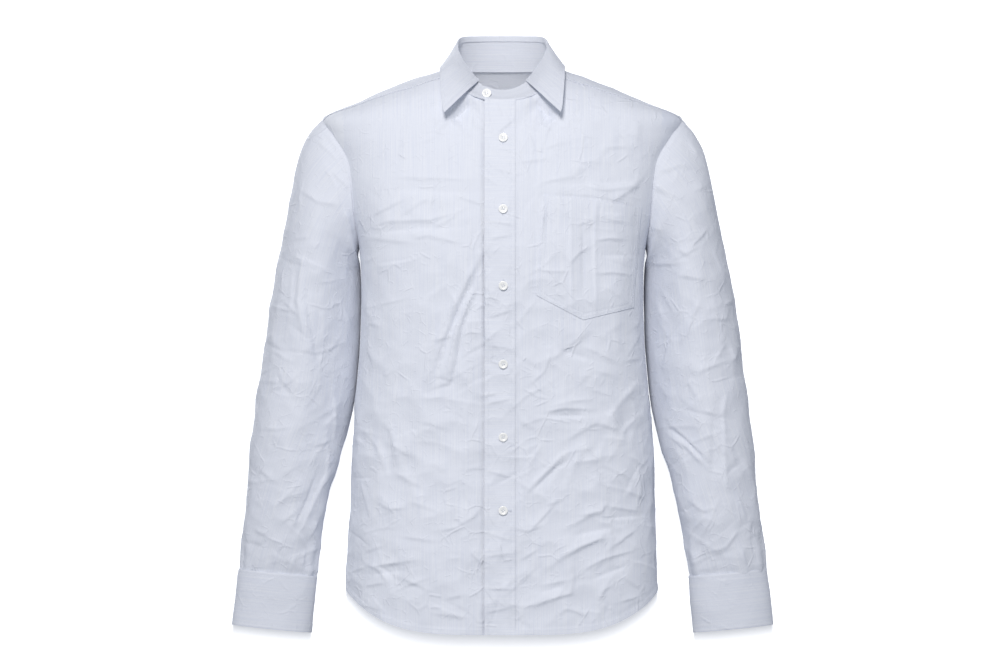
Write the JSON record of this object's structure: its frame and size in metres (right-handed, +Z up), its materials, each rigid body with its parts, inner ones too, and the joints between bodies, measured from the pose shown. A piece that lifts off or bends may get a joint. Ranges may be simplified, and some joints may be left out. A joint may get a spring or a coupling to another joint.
{
  "type": "dress shirt",
  "caption": "Long-sleeved crumpled dress shirt, filled out and empty, with a folded collar, a buttoned front placket, a chest pocket, buttoned cuffs and a curved hem.",
  "frame": {"origin": "middle of the neck base, at the height where the shoulder line meets the collar, where the shirt is held up", "axes": "+X to the wearer's left, -Y to the front, +Z up"},
  "size_m": [0.6734, 0.2509, 0.7511],
  "materials": {
    "shirting": "matte striped weave, pale blue and white",
    "collar_and_cuffs": "matte striped weave over a stiff lining, pale blue and white",
    "buttons": "pearly white"
  },
  "bodies": {
    "root": {"back": "shirting", "button_1": "buttons", "button_2": "buttons", "button_3": "buttons", "button_4": "buttons", "button_5": "buttons", "button_6": "buttons", "collar_button": "buttons", "collar_leaf": "collar_and_cuffs", "collar_stand": "collar_and_cuffs", "cuff_button_left": "buttons", "cuff_button_right": "buttons", "cuff_left": "collar_and_cuffs", "cuff_right": "collar_and_cuffs", "front_left": "shirting", "front_right": "shirting", "placket": "shirting", "pocket": "shirting", "sleeve_left": "shirting", "sleeve_placket_left": "shirting", "sleeve_placket_right": "shirting", "sleeve_right": "shirting", "yoke": "shirting"}
  },
  "joints": []
}
